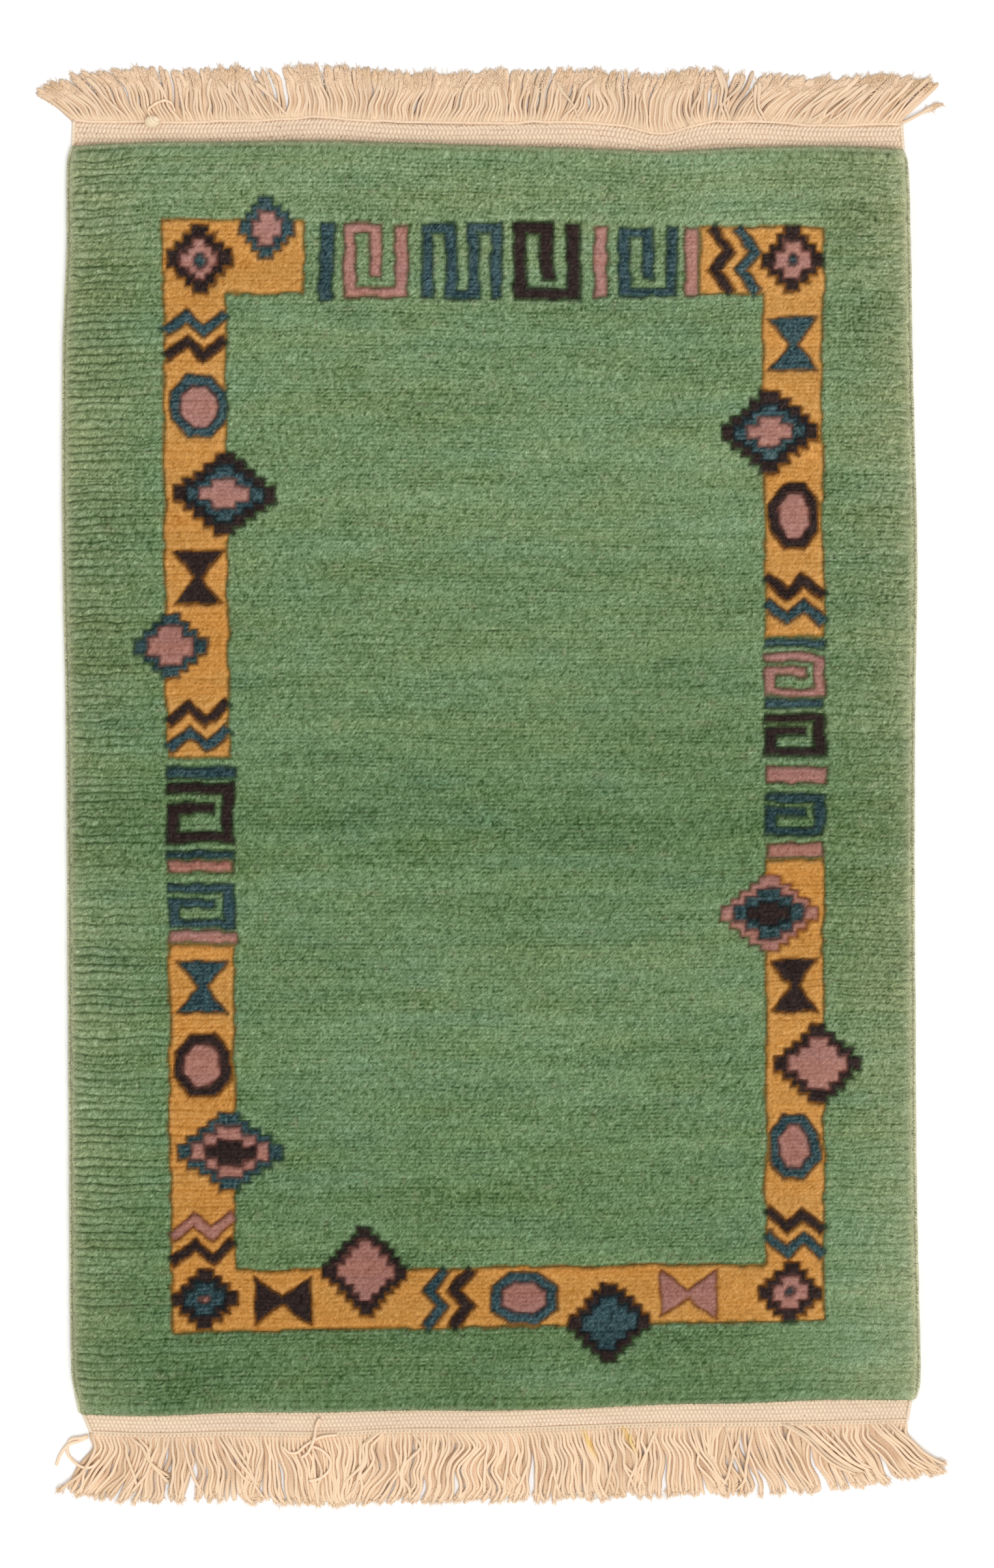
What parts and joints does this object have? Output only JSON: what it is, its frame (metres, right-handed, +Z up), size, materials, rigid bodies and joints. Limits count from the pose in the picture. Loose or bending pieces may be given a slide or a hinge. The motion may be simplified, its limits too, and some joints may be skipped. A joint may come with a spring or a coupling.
{
  "type": "tribal rug",
  "caption": "Small hand-knotted wool rug lying flat, with a carved border band, overcast side edges, and a cotton web and fringe at each end.",
  "frame": {"origin": "middle of the ground that the rug covers, fringes included, at the height of its underside", "axes": "+X across the rug to the right, +Y along the rug towards the far fringe, +Z up out of the pile"},
  "size_m": [0.6372, 1.0236, 0.0133],
  "materials": {
    "wool_pile": "cut wool pile, matt",
    "wool_selvedge": "overcast wool yarn, matt",
    "cotton_web": "flat-woven unbleached cotton",
    "cotton_fringe": "plied unbleached cotton"
  },
  "bodies": {
    "root": {"rug_pile": "wool_pile", "selvedge_left": "wool_selvedge", "selvedge_right": "wool_selvedge", "end_web_far": "cotton_web", "end_web_near": "cotton_web", "fringe_far": "cotton_fringe", "fringe_near": "cotton_fringe", "tied_knot": "cotton_fringe"}
  },
  "joints": []
}
